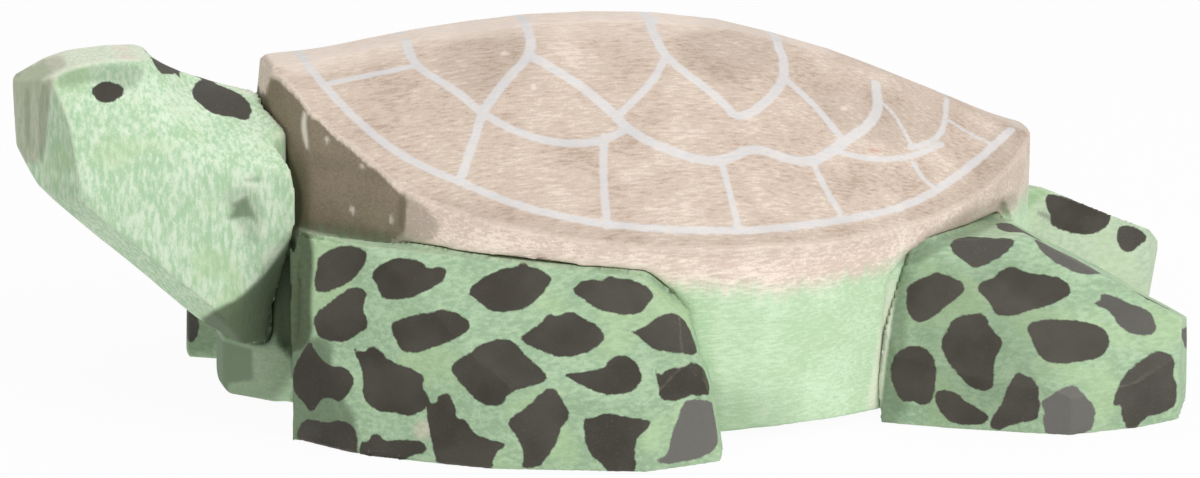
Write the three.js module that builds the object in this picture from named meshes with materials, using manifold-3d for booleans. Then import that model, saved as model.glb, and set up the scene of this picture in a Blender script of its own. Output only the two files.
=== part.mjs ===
// A carved wooden sea turtle that stands on its four flippers.
// The shell and belly are one block. The head and the four flippers are carved apart,
// set against flat seats sawn in that block, and held there with glue and blind dowels.
// Millimetres and degrees. +X is the way the turtle faces, +Y is its left, and z = 0 is the table.

import * as THREE from 'three';
import { mergeVertices } from 'three/addons/utils/BufferGeometryUtils.js';
import Module from 'manifold-3d';

// Shell and belly block, measured from the middle of the oval that the shell is in plan.
const shellForward = 41;
const shellBack = 39.6;
const shellHalfWidth = 26;
const shellSetback = -2.425; // puts the oval's middle where the whole figure is centred on x = 0
const tailEnd = -shellBack + 0.4; // the back tip of the oval is squared off here
const headSeat = shellForward - 1.6; // the front tip is squared off here, and the head is glued to the flat
const bellyClearance = 1; // the belly hangs this far above the table
const wallTuck = 1.2; // the wall under the rim leans in by this much towards the belly
const tailSharpness = 1.37; // 1 would leave the back of the oval as round as the front
const ridgeHalfWidth = 2; // the ridge is a flat strip down the middle of the dome
const domeRoundness = 1.35; // 1 would be a pitched roof, 2 a parabola

// Heights of the ridge and of the rim, at angles round the oval from the front.
const shellStations = [
  { angle: 10, ridge: 34.7, rim: 34.5 },
  { angle: 17, ridge: 34.8, rim: 33.9 },
  { angle: 28, ridge: 35, rim: 30.4 },
  { angle: 37, ridge: 35.3, rim: 27.2 },
  { angle: 46, ridge: 35.9, rim: 24.9 },
  { angle: 58, ridge: 36.8, rim: 23.3 },
  { angle: 77, ridge: 37.6, rim: 20.9 },
  { angle: 97, ridge: 36.5, rim: 20 },
  { angle: 115, ridge: 33.1, rim: 19.7 },
  { angle: 135, ridge: 28.3, rim: 20.3 },
  { angle: 150, ridge: 25.4, rim: 21.9 },
  { angle: 162, ridge: 24, rim: 23.1 },
  { angle: 174, ridge: 23.6, rim: 23.5 },
];
const ribCount = 26; // cross-sections along the shell
const ribFacets = 6; // flats from the rim up to the ridge strip on each side

// Shoulders and breast, the part of the block in front of and below the shell.
const shoulderHeight = 18.8;
const breastReach = headSeat + 4.4;
const neckStubHalfWidth = 6.3; // outside this the shoulders stand back from the cheeks
const shouldersEnd = headSeat - 1.8;
const throatCut = { at: [shouldersEnd, 0, 4], heading: 0, slope: -45 };
const breastHalfWidth = 8;
const breastLedge = 7.5; // the neck comes down onto this ledge
const breastCuts = [
  { at: [breastReach - 0.8, 0, bellyClearance], heading: 0, slope: -35 },
  { at: [breastReach - 3.2, 3.6, bellyClearance], heading: 45, slope: -35 },
  { at: [breastReach - 5.8, 5, bellyClearance], heading: 90, slope: -35 },
];

// Facets knifed off the front of the shell, given for the left side.
const bodyCuts = [
  { at: [headSeat, 0, 31], heading: 0, slope: 12 },
  { at: [headSeat - 3.2, 9, 32], heading: 24, slope: 0 },
  { at: [headSeat - 7.05, 13.5, 28.6], heading: 40.5, slope: 0 },
  { at: [headSeat - 13.4, 19.6, 24.5], heading: 59, slope: -2 },
];

// Joints
const glueLine = 0.3; // gap left between a limb and its seat
const dowelDiameter = 4;
const dowelDepth = 8; // how far a flipper's dowel goes into the body
const dowelReach = 4.8; // how far it goes into the flipper
const headDowelDiameter = 6;
const headDowelLength = 20;
const headDowelHeight = 19;
const dowelEase = 0.15; // the hole is this much wider than the dowel, all round
const dowelEndGap = 0.4; // the hole is this much deeper than the dowel, at each end

// Head, measured forward from its seat. The side outline gives [forward, height].
const headOutline = [
  [24.05, 33.5],
  [20.9, 35.4],
  [18.5, 36.1],
  [14.6, 36.4],
  [11.1, 36.1],
  [7.6, 33.9],
  [-2.5, 30.6],
  [-2.5, breastLedge + glueLine],
  [3.1, breastLedge + glueLine],
  [7.6, 10.2],
  [17, 18.8],
  [22.4, 23.8],
  [23.7, 26.6],
];
// In plan the head meets the block on a flat between the cheeks, which reach back past it.
const headPlan = [
  [glueLine, neckStubHalfWidth + glueLine],
  [-1.8, 10],
  [21.7, 8.2],
  [22.9, 6.4],
  [24, 3],
];
const headCuts = [
  { at: [21.25, 7.15, 29.15], heading: 40, slope: -8.6 },
  { at: [19.35, 7.45, 23.65], heading: 38, slope: -19.6 },
  { at: [18.1, 8.6, 22.9], heading: 31, slope: -41.7 },
  { at: [-1.4, 10, 20.5], heading: 115, slope: -20 },
  { at: [-1.8, 10, 23.6], heading: 160, slope: 14.8 },
];
// On the left the crown, the nape and the muzzle were rounded off into the cheek with more and gentler cuts.
const unevenHeadCuts = [
  { at: [15.8, 3, 36.4], heading: 90, slope: 35 },
  { at: [15.8, 6.5, 32.1], heading: 82, slope: 15 },
  { at: [22.85, 0.8, 30], heading: 27, slope: 0 },
  { at: [16.6, -3.3, 36.3], heading: -83, slope: 52 },
  { at: [22.5, -3.2, 34.8], heading: -60, slope: 50 },
];
// The nape lies a step below the crown, whose back slopes down to it.
const napeCuts = [
  { at: [7.6, -1, 33.9], heading: -134.7, slope: 65.1 },
  { at: [7.6, 0, 33.9], heading: 121, slope: 61 },
  { at: [7.6, 4.5, 31.9], heading: 98, slope: 47 },
];
const crownBackCuts = [
  { at: [7.6, -1, 33.9], heading: -150, slope: 39.2 },
  { at: [7.6, 0, 33.9], heading: 147, slope: 38 },
];

// Flippers. Each is measured from the middle of its seat: forward along the seat, out from it, and up.
// The profile is the seat's own outline [forward, up]; the sole is what stands on the table [forward, out].
const frontFlipper = {
  seatAt: [14, shellHalfWidth - 4.5],
  seatHeading: 73.3,
  profile: frontProfile(26.6),
  sole: [
    [26.6, 0],
    [19.3, 5.1],
    ...frontSoleBehind(),
  ],
  cuts: frontCuts([24, 1.2, 18]),
  dowelsAt: [[10, 7], [-7, 6.5]],
};
const rearFlipper = {
  seatAt: [14.35 - shellBack, shellHalfWidth - 10.65],
  seatHeading: 128.8,
  profile: [
    [9.7, 0],
    [9.6, 4],
    [8.7, 10],
    [8.5, 14.2],
    [7.6, 15.3],
    [6, 16.6],
    [3.2, 17.8],
    [-9.5, 17.6],
    [-13.2, 14.4],
    [-30, 14.4],
    [-30, 0],
  ],
  sole: [
    [9.7, 0],
    [6.5, 7.5],
    [3.7, 13.6],
    [1.4, 17.65],
    [-4.7, 21.5],
    [-9.7, 23.1],
    [-16.3, 19.6],
    [-13.2, 0],
  ],
  cuts: [
    { at: [6.4, 7.5, 6], heading: 29, slope: 26 },
    { at: [3.7, 13.6, 6], heading: 51, slope: 39.7 },
    { at: [-4, 6.6, 18.3], heading: 145, slope: 60.7 },
    { at: [-14, 3, 12], heading: 188, slope: 35 },
  ],
  dowelsAt: [[0, 7], [-8, 7]],
};

// The right pair reach further than the left pair.
const rightFrontFlipper = {
  ...frontFlipper,
  profile: frontProfile(30.8),
  sole: [
    [26.8, 0],
    [30.5, 3.6],
    [29.9, 5.2],
    [19.3, 7.5],
    ...frontSoleBehind(),
  ],
  cuts: frontCuts([28.5, 3.6, 18]),
};
const rightRearFlipper = {
  ...rearFlipper,
  sole: [
    [9.7, 0],
    [6, 6.9],
    [2.8, 12.7],
    [-5.75, 19.6],
    [-13.55, 22.6],
    [-19, 24.2],
    [-23.3, 23.6],
    [-25.6, 21.3],
    [-26.6, 16],
    [-20.5, 7.7],
    [-13.2, 0],
  ],
  cuts: [
    { at: [6, 6.9, 6], heading: 29, slope: 26 },
    { at: [2.8, 12.7, 6], heading: 51, slope: 39.7 },
    { at: [-17, 6.8, 14.8], heading: 101, slope: 61.5 },
    { at: [-24, 11.5, 2], heading: 217, slope: 12 },
    { at: [-25.6, 21.3, 5], heading: 141, slope: -27 },
  ],
};

function frontProfile(frontEnd) {
  return [
    [frontEnd, 0],
    [frontEnd, 21.6],
    [-8.5, 18.1],
    [-12.8, 14.4],
    [-15.3, 7],
    [-16.4, 0],
  ];
}

function frontSoleBehind() {
  return [
    [6.2, 8.7],
    [-8.9, 8.9],
    [-16.4, 4.4],
    [-16.4, 0],
  ];
}

// The long bevel along the top, the one at the front tip and the one at the back.
function frontCuts(tip) {
  return [
    { at: [1.7, 2.7, 18.9], heading: 93, slope: 29.5 },
    { at: tip, heading: 72, slope: 6.5 },
    { at: [-12.8, 3, 14], heading: 152, slope: 24 },
  ];
}

// The stained woods
const shellBrown = new THREE.MeshStandardMaterial({ color: 0xb9a797, roughness: 0.8, metalness: 0 });
const limbGreen = new THREE.MeshStandardMaterial({ color: 0x9dbb95, roughness: 0.8, metalness: 0 });
const dowelWood = new THREE.MeshStandardMaterial({ color: 0xd8c39a, roughness: 0.75, metalness: 0 });

const stock = 200; // larger than anything that is carved here
const wasm = await Module();
wasm.setup();

function solidFrom(geometry) {
  const bare = geometry.clone();
  bare.deleteAttribute('normal');
  bare.deleteAttribute('uv');
  const merged = mergeVertices(bare, 1e-4);
  return new wasm.Manifold(new wasm.Mesh({
    numProp: 3,
    vertProperties: merged.attributes.position.array,
    triVerts: new Uint32Array(merged.index.array),
  }));
}

function geometryFrom(solid) {
  const mesh = solid.getMesh();
  const geometry = new THREE.BufferGeometry();
  geometry.setAttribute('position', new THREE.BufferAttribute(mesh.vertProperties, 3));
  geometry.setIndex(new THREE.BufferAttribute(mesh.triVerts, 1));
  geometry.computeVertexNormals();
  return geometry;
}

// The same shape for the other side of the body.
function mirrored(geometry) {
  const copy = geometry.index ? geometry.toNonIndexed() : geometry.clone();
  copy.scale(1, -1, 1);
  const points = copy.attributes.position;
  for (let corner = 0; corner < points.count; corner += 3) {
    const second = new THREE.Vector3().fromBufferAttribute(points, corner + 1);
    const third = new THREE.Vector3().fromBufferAttribute(points, corner + 2);
    points.setXYZ(corner + 1, third.x, third.y, third.z);
    points.setXYZ(corner + 2, second.x, second.y, second.z);
  }
  return copy;
}

function shapeOf(outline) {
  return new THREE.Shape(outline.map(([across, up]) => new THREE.Vector2(across, up)));
}

// A plan outline [x, y] sawn out of a board that lies from bottom to top.
function board(outline, bottom, top) {
  const geometry = new THREE.ExtrudeGeometry(shapeOf(outline), { depth: top - bottom, bevelEnabled: false });
  return geometry.translate(0, 0, bottom);
}

// A side outline [x, z] sawn out of a plank that stands from inner to outer along y.
function plank(outline, inner, outer) {
  const geometry = new THREE.ExtrudeGeometry(shapeOf(outline), { depth: outer - inner, bevelEnabled: false });
  return geometry.rotateX(Math.PI / 2).translate(0, outer, 0);
}

// What one straight knife cut takes away: all that lies beyond a plane.
// Heading is the way the new facet faces in plan, and slope is how far it is tipped up.
function shaving({ at, heading, slope }) {
  const waste = new THREE.BoxGeometry(stock, stock, stock).translate(stock / 2, 0, 0);
  waste.rotateY(THREE.MathUtils.degToRad(-slope));
  waste.rotateZ(THREE.MathUtils.degToRad(heading));
  return waste.translate(...at);
}

function otherSide({ at: [x, y, z], heading, slope }) {
  return { at: [x, -y, z], heading: -heading, slope };
}

function carve(solid, cuts) {
  return cuts.reduce((rest, cut) => rest.subtract(solidFrom(shaving(cut))), solid);
}

function bothSides(cuts) {
  return cuts.flatMap((cut) => [cut, otherSide(cut)]);
}

function mirroredOutline(half) {
  const other = half.map(([x, y]) => [x, -y]).reverse();
  return [...other, ...half];
}

// A dowel, or the hole for one, along +y between two depths.
function dowelGeometry(diameter, inner, outer) {
  const geometry = new THREE.CylinderGeometry(diameter / 2, diameter / 2, outer - inner, 20);
  return geometry.translate(0, (inner + outer) / 2, 0);
}

function dowelHole(diameter, inner, outer) {
  return dowelGeometry(diameter + 2 * dowelEase, inner - dowelEndGap, outer + dowelEndGap);
}

// One cross-section of the shell and belly: across the belly, up the wall, and over the dome.
function shellRib(angle, ridge, rim) {
  const turn = THREE.MathUtils.degToRad(angle);
  const x = (angle > 90 ? shellBack : shellForward) * Math.cos(turn);
  const half = shellHalfWidth * Math.sin(turn) ** (angle > 90 ? tailSharpness : 1);
  const flat = Math.min(ridgeHalfWidth, half / 2);
  const side = [[Math.max(half - wallTuck, half / 2), bellyClearance]];
  for (let step = 0; step <= ribFacets; step += 1) {
    const share = 1 - step / ribFacets;
    side.push([flat + (half - flat) * share, ridge - (ridge - rim) * share ** domeRoundness]);
  }
  const other = side.map(([y, z]) => [-y, z]).reverse();
  return [...side, ...other].map(([y, z]) => new THREE.Vector3(x, y, z));
}

// A closed solid through a row of cross-sections that all have the same number of points.
function loft(ribs) {
  const around = ribs[0].length;
  const points = ribs.flat();
  const index = [];
  for (let rib = 0; rib + 1 < ribs.length; rib += 1) {
    for (let corner = 0; corner < around; corner += 1) {
      const next = (corner + 1) % around;
      const a = rib * around + corner;
      const b = rib * around + next;
      index.push(a, a + around, b, b, a + around, b + around);
    }
  }
  for (const rib of [0, ribs.length - 1]) {
    const hub = points.length;
    const middle = new THREE.Vector3();
    ribs[rib].forEach((point) => middle.addScaledVector(point, 1 / around));
    points.push(middle);
    for (let corner = 0; corner < around; corner += 1) {
      const a = rib * around + corner;
      const b = rib * around + (corner + 1) % around;
      index.push(...(rib === 0 ? [hub, a, b] : [hub, b, a]));
    }
  }
  const geometry = new THREE.BufferGeometry().setFromPoints(points);
  geometry.setIndex(index);
  return geometry;
}

function shellBlank() {
  const course = new THREE.CatmullRomCurve3(
    shellStations.map(({ angle, ridge, rim }) => new THREE.Vector3(angle, ridge, rim)),
  );
  const ribs = [];
  for (let rib = 0; rib < ribCount; rib += 1) {
    const { x: angle, y: ridge, z: rim } = course.getPoint(rib / (ribCount - 1));
    ribs.push(shellRib(angle, ridge, rim));
  }
  return loft(ribs);
}

// Where a flipper's seat stands on one side of the body; side is 1 for the left and -1 for the right.
function seatGroup(spec, side) {
  const turn = THREE.MathUtils.degToRad(spec.seatHeading);
  const group = new THREE.Group();
  group.position.set(spec.seatAt[0], side * spec.seatAt[1], 0);
  group.rotation.z = side * (turn - Math.PI / 2);
  group.updateMatrix();
  return group;
}

function forSide(geometry, side) {
  return side > 0 ? geometry : mirrored(geometry);
}

// The pocket sawn in the body for a flipper, in the seat's own frame.
function seatPocket(spec) {
  const low = -stock;
  const profile = spec.profile.map(([along, up]) => [along, up === 0 ? low : up]);
  return plank(profile, 0, stock);
}

function flipperGeometry(spec) {
  const eased = spec.profile.map(([along, up]) => [along - Math.sign(along) * glueLine, up - glueLine]);
  const blank = solidFrom(board(spec.sole, 0, stock)).intersect(solidFrom(plank(eased, glueLine, stock)));
  let flipper = carve(blank, spec.cuts);
  for (const [along, up] of spec.dowelsAt) {
    flipper = flipper.subtract(solidFrom(flipperDowel(along, up, dowelHole)));
  }
  return geometryFrom(flipper);
}

function flipperDowel(along, up, make) {
  return make(dowelDiameter, -dowelDepth, dowelReach).translate(along, 0, up);
}

function headGeometry() {
  const sideView = solidFrom(plank(headOutline, -stock, stock));
  const blank = sideView.intersect(solidFrom(board(mirroredOutline(headPlan), 0, stock)));
  const carved = carve(blank, [...bothSides(headCuts), ...unevenHeadCuts]);
  const stepped = carve(carved, napeCuts).add(carve(carved, crownBackCuts));
  return geometryFrom(stepped.subtract(solidFrom(headDowel(dowelHole))));
}

function headDowel(make) {
  const half = headDowelLength / 2;
  return make(headDowelDiameter, -half, half).rotateZ(-Math.PI / 2).translate(0, 0, headDowelHeight);
}

const figure = new THREE.Group();
figure.position.x = shellSetback;

function place(group, name, geometry, material) {
  const mesh = new THREE.Mesh(geometry, material);
  mesh.name = name;
  group.add(mesh);
}

const limbs = [
  { name: 'front_left', spec: frontFlipper, side: 1 },
  { name: 'front_right', spec: rightFrontFlipper, side: -1 },
  { name: 'rear_left', spec: rearFlipper, side: 1 },
  { name: 'rear_right', spec: rightRearFlipper, side: -1 },
];

const shoulders = mirroredOutline([
  [headSeat, neckStubHalfWidth],
  [shouldersEnd, neckStubHalfWidth],
  [shouldersEnd, shellHalfWidth - 11],
  [headSeat - 13.4, shellHalfWidth - 7.4],
  [4, shellHalfWidth - 4],
  [-10, 0],
]);
const breast = mirroredOutline([
  [0, breastHalfWidth],
  [shouldersEnd, breastHalfWidth],
  [breastReach - 2.2, breastHalfWidth - 2.5],
  [breastReach, 2],
]);
let body = solidFrom(shellBlank());
body = carve(body, [{ at: [headSeat, 0, 0], heading: 0, slope: 0 }, { at: [tailEnd, 0, 0], heading: 180, slope: 0 }]);
body = carve(body, bothSides(bodyCuts));
body = body.add(carve(solidFrom(board(shoulders, bellyClearance, shoulderHeight)), [throatCut]));
body = body.add(carve(solidFrom(board(breast, bellyClearance, breastLedge)), bothSides(breastCuts)));

for (const { name, spec, side } of limbs) {
  const seat = seatGroup(spec, side);
  figure.add(seat);
  body = body.subtract(solidFrom(forSide(seatPocket(spec), side).applyMatrix4(seat.matrix)));
  place(seat, `${name}_flipper`, forSide(flipperGeometry(spec), side), limbGreen);
  spec.dowelsAt.forEach(([along, up], count) => {
    const hole = flipperDowel(along, up, dowelHole);
    body = body.subtract(solidFrom(forSide(hole, side).applyMatrix4(seat.matrix)));
    place(seat, `${name}_dowel_${count + 1}`, forSide(flipperDowel(along, up, dowelGeometry), side), dowelWood);
  });
}

const neck = new THREE.Group();
neck.position.x = headSeat;
neck.updateMatrix();
figure.add(neck);
body = body.subtract(solidFrom(headDowel(dowelHole).applyMatrix4(neck.matrix)));
place(neck, 'head', headGeometry(), limbGreen);
place(neck, 'head_dowel', headDowel(dowelGeometry), dowelWood);
place(figure, 'body', geometryFrom(body), shellBrown);

export default figure;
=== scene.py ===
# %% [markdown]
# A carved wooden sea turtle, about 12 cm long. The real one is whittled from a few blocks of pale
# wood, so it is all knife-cut flats and softened edges, and it is coloured with thin stain: a
# grey-brown shell with white brush lines, and green limbs with dark brown spots.
# The solid model gives every block its true place and size. Here each block gets a finely
# divided surface, its knife marks and its paint.

# %% Load the solid model
from math import cos, hypot, radians, sin

import bpy
import numpy as np
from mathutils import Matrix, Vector, noise
from mathutils.bvhtree import BVHTree


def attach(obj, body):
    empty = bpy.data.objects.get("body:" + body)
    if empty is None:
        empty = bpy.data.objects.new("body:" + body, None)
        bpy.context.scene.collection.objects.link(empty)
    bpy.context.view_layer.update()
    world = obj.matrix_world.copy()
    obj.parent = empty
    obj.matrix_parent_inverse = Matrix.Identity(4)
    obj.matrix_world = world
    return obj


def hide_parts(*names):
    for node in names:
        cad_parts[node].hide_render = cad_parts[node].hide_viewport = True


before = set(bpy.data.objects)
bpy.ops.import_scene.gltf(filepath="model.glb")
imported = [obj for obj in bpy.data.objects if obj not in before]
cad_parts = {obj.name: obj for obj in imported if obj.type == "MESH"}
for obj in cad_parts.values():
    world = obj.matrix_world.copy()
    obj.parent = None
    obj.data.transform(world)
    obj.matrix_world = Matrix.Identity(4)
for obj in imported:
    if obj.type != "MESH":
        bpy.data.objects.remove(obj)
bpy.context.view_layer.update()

MM = 0.001
print("blocks:", sorted(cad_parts))

# %% [markdown]
# The photograph was taken from the turtle's left, a little ahead of it and a little above the
# table, from some way off. A long lens at 70 cm gives the same slight foreshortening. The camera is
# placed first, because the painted marks are found through it: a mark's outline is read off the
# photograph in pixels, and each point is followed along its line of sight to the wood.

# %% Camera
PHOTO_WIDTH = 1200
PHOTO_HEIGHT = 478
PIXELS_PER_MM = 10
view_ahead = radians(13)
view_above = radians(15.5)
camera_distance = 700 * MM
aim = Vector((2.575, 0, 14.4)) * MM
sensor_width = 36

towards_camera = Vector((
    cos(view_above) * sin(view_ahead),
    cos(view_above) * cos(view_ahead),
    sin(view_above),
))
eye = aim + towards_camera * camera_distance
facing = (-towards_camera).to_track_quat("-Z", "Y")
bpy.ops.object.camera_add(location=eye, rotation=facing.to_euler())
camera = bpy.context.object
camera.data.sensor_width = sensor_width
camera.data.lens = sensor_width * camera_distance / (PHOTO_WIDTH / PIXELS_PER_MM * MM)
camera.data.clip_start = 0.01
bpy.context.scene.camera = camera
picture_right = facing @ Vector((1, 0, 0))
picture_up = facing @ Vector((0, 1, 0))


def sight_line(pixel):
    """The direction from the camera through one pixel of the photograph."""
    across, down = pixel
    right = (across - PHOTO_WIDTH / 2) / PIXELS_PER_MM * MM
    up = (PHOTO_HEIGHT / 2 - down) / PIXELS_PER_MM * MM
    return (aim + picture_right * right + picture_up * up - eye).normalized()


def pixels_of(points):
    """Where points in space show in the photograph, the reverse of a sight line."""
    offset = points - np.array(eye)
    scale = camera_distance / (offset @ -np.array(towards_camera)) * PIXELS_PER_MM / MM
    across = PHOTO_WIDTH / 2 + offset @ np.array(picture_right) * scale
    down = PHOTO_HEIGHT / 2 - offset @ np.array(picture_up) * scale
    return np.stack([across, down], axis=1)


print(f"camera lens {camera.data.lens:.0f} mm at {camera_distance:.2f} m")

# %% [markdown]
# A whittled block has flat facets, but its edges are never sharp: the knife, a touch of sandpaper and
# handling take them down to a few tenths of a millimetre. The solid model has those flats with
# perfectly sharp edges and very large faces. A voxel remesh cuts the whole block into even little
# squares and keeps the flats, and a short smoothing rounds the edges. The even squares are also what
# lets the paint be worked out point by point later.

# %% From solid to finely divided block
def select_only(thing):
    bpy.ops.object.select_all(action="DESELECT")
    thing.select_set(True)
    bpy.context.view_layer.objects.active = thing


def apply_modifier(block, kind, **settings):
    select_only(block)
    modifier = block.modifiers.new(kind.title(), kind)
    for name, value in settings.items():
        setattr(modifier, name, value)
    bpy.ops.object.modifier_apply(modifier=modifier.name)


def points_of(block):
    points = np.empty(len(block.data.vertices) * 3, np.float32)
    block.data.vertices.foreach_get("co", points)
    return points.reshape(-1, 3).astype(float)


def normals_of(block):
    normals = np.empty(len(block.data.vertices) * 3, np.float32)
    block.data.vertices.foreach_get("normal", normals)
    return normals.reshape(-1, 3).astype(float)


def move_points(block, points):
    block.data.vertices.foreach_set("co", points.astype(np.float32).ravel())
    block.data.update()


def fine_block(node, cell, softening):
    """A copy of a solid, divided into squares of about one cell and with its edges softened."""
    block = bpy.data.objects.new(f"carved_{node}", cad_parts[node].data.copy())
    bpy.context.scene.collection.objects.link(block)
    select_only(block)
    bpy.ops.object.mode_set(mode="EDIT")
    bpy.ops.mesh.select_all(action="SELECT")
    bpy.ops.mesh.remove_doubles(threshold=0.001 * MM)
    bpy.ops.object.mode_set(mode="OBJECT")
    apply_modifier(block, "REMESH", mode="VOXEL", voxel_size=cell)
    apply_modifier(block, "SMOOTH", factor=0.5, iterations=softening)
    bpy.ops.object.shade_smooth()
    print(f"{block.name}: {len(block.data.polygons)} squares")
    return block


limb_names = ["head", "front_left_flipper", "front_right_flipper", "rear_left_flipper", "rear_right_flipper"]
shell = fine_block("body", cell=0.408 * MM, softening=3)
limbs = {name: fine_block(name, cell=0.26 * MM, softening=4) for name in limb_names}
blocks = {"body": shell, **limbs}

# %% [markdown]
# The solid's dome is built from narrow strips. On the real shell they have been worked together into
# one swelling surface, so the dome alone is smoothed, with a weight that is 0 at the rim, on the side
# walls and along the flat ridge, where the real edges are still plain to see. The left side of the
# head was worked round in the same way, from the crown's edge down to the cheek.

# %% Work the dome and the cheek smooth
def ease(low, high, value):
    """0 below low, 1 above high, and a smooth step between them; low may be the larger one."""
    share = np.clip((value - low) / (high - low), 0, 1)
    return share * share * (3 - 2 * share)


def smooth_where(block, weights, times):
    """Smooth a block by the weight that each of its points has."""
    group = block.vertex_groups.new(name="worked")
    for index in np.flatnonzero(weights):
        group.add([int(index)], float(weights[index]), "REPLACE")
    apply_modifier(block, "SMOOTH", factor=0.5, iterations=times, vertex_group="worked")
    block.vertex_groups.clear()


# Each pair is where a weight starts and where it is full. A tilt is the upward part of the way a
# point faces, and the others are places: heights, or distances ahead or aside.
SHOULDER_TOP = 19.4 * MM
SHOULDER_EDGE = (SHOULDER_TOP, SHOULDER_TOP + 0.5 * MM)
DOME_TILT = (0.5, 0.64)
RIDGE_EDGE = (2.2 * MM, 3.4 * MM)


def dome_share(points, normals):
    return (
        ease(*DOME_TILT, normals[:, 2])
        * ease(*SHOULDER_EDGE, points[:, 2])
        * ease(*RIDGE_EDGE, np.abs(points[:, 1]))
    )


CROWN_EDGE = (34.6 * MM, 33 * MM)
CHEEK_BACK = (37.5 * MM, 39.5 * MM)
MUZZLE_EDGE = (56.5 * MM, 54.5 * MM)
JAW_TILT = (-0.45, -0.2)


def cheek_share(points, normals):
    return (
        ease(*CROWN_EDGE, points[:, 2])
        * ease(*CHEEK_BACK, points[:, 0])
        * ease(*MUZZLE_EDGE, points[:, 0])
        * ease(*JAW_TILT, normals[:, 2])
        * (points[:, 1] > 0)
    )


smooth_where(shell, dome_share(points_of(shell), normals_of(shell)), times=50)
smooth_where(limbs["head"], cheek_share(points_of(limbs["head"]), normals_of(limbs["head"])), times=160)
print("dome and cheek smoothed")

# %% [markdown]
# In the solid model a thin gap stands for the glue between a limb and its seat. Glued wood shows no
# gap, only a fine line, so whatever faces the shell across it is moved up to touch the shell. The
# back of the head stands a little further off, and its middle is slid back onto the shell.

# %% Close the glue lines
CONTACT = 0.03 * MM
GLUE_REACH = 0.5 * MM
FACES_SHELL = 0.5
FACES_BACK = -0.95
SHOULDER_CLEARANCE = 0.3 * MM
NAPE_REACH = 1.7 * MM
NAPE_DEPTH = 1.2 * MM
NAPE_SIDES = (7.5 * MM, 5.5 * MM)
backwards = Vector((-1, 0, 0))
shell_tree = BVHTree.FromObject(shell, bpy.context.evaluated_depsgraph_get())


def close_glue_line(limb):
    points, normals = points_of(limb), normals_of(limb)
    for index, place in enumerate(points):
        point = Vector(place)
        touching, _, _, gap = shell_tree.find_nearest(point, GLUE_REACH)
        if touching is not None and gap > CONTACT:
            towards = (touching - point) / gap
            if towards.dot(Vector(normals[index])) > FACES_SHELL:
                points[index] = point + towards * (gap - CONTACT)
    move_points(limb, points)


def seat_nape(head):
    """Slide the back of the head, above the shoulders, up to the front of the shell."""
    points, normals = points_of(head), normals_of(head)
    above_shoulders = points[:, 2] > SHOULDER_TOP + SHOULDER_CLEARANCE
    seat = np.median(points[above_shoulders & (normals[:, 0] < FACES_BACK), 0])
    for index in np.flatnonzero(above_shoulders & (points[:, 0] < seat + NAPE_DEPTH)):
        ahead, aside = points[index, 0] - seat, abs(points[index, 1])
        touching, _, _, gap = shell_tree.ray_cast(Vector(points[index]), backwards, NAPE_REACH + NAPE_DEPTH)
        if touching is not None:
            slide = max(0, gap - max(0, ahead) - CONTACT)
            points[index, 0] -= slide * ease(NAPE_DEPTH, 0, ahead) * ease(*NAPE_SIDES, aside)
    move_points(head, points)


for limb in limbs.values():
    close_glue_line(limb)
seat_nape(limbs["head"])
print("glue lines closed")

# %% [markdown]
# A knife leaves its own small flats, each one a thin shaving off the swell. They are cut here the way
# the knife cuts them: a plane is laid a hair below the surface, and everything that stands above it
# is pressed down onto it. The big ones on the shell are placed from the photograph, and small ones
# are scattered over every block with a fixed random seed. A slow waver takes the ruler-straightness
# out of the edges. All of it goes inwards, so no block grows.

# %% Knife marks
SAME_FACET = 0.9
# As shares of a flat's reach: the middle part that gives its slope, and where it starts to fade out.
FLAT_MIDDLE = 0.3
FLAT_FADE = 0.5
SHELL_FLAT_REACH = 10 * MM
# The small flats: their least depth as a share of the full one, and how far they lean at random.
SHALLOWEST = 0.3
LEAN = 0.012


def sight_hits(block, pixels):
    """Where the lines of sight through some pixels meet a block, and how it faces there."""
    tree = BVHTree.FromObject(block, bpy.context.evaluated_depsgraph_get())
    hits = [tree.ray_cast(eye, sight_line(pixel)) for pixel in pixels]
    return [(place, facing_out) for place, facing_out, _, _ in hits if place is not None]


def pare(points, normals, place, depth, reach, tilt=(0, 0, 0)):
    """Press down onto a plane what stands above it, fading out towards the edge of its reach."""
    offset = points - place
    away = np.linalg.norm(offset, axis=1) / reach
    facing_out = normals[away < FLAT_MIDDLE].mean(axis=0) + tilt
    facing_out /= np.linalg.norm(facing_out)
    above = offset @ facing_out + depth
    near = (above > 0) & (away < 1) & (normals @ facing_out > SAME_FACET)
    pressed = above[near] * ease(1, FLAT_FADE, away[near])
    points[near] -= pressed[:, None] * facing_out


def scattered_flats(block, count, depth, reach, seed):
    """Small knife flats at random places all over a block."""
    chance = np.random.default_rng(seed)
    points, normals = points_of(block), normals_of(block)
    for index in chance.integers(0, len(points), count):
        shaving = depth * chance.uniform(SHALLOWEST, 1)
        pare(points, normals, points[index].copy(), shaving, reach, tilt=chance.normal(0, LEAN, 3))
    move_points(block, points)


def waver(block, depth, length, seed):
    """Move the surface slowly in and out of line, inwards only, and keep it above the table."""
    points, normals = points_of(block), normals_of(block)
    shift = Vector((seed, 0, 0))
    swell = np.array([noise.noise(Vector(point) / length + shift) for point in points])
    points -= normals * (depth * (0.5 + 0.5 * swell))[:, None]
    points[:, 2] = np.maximum(points[:, 2], 0)
    move_points(block, points)


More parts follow.
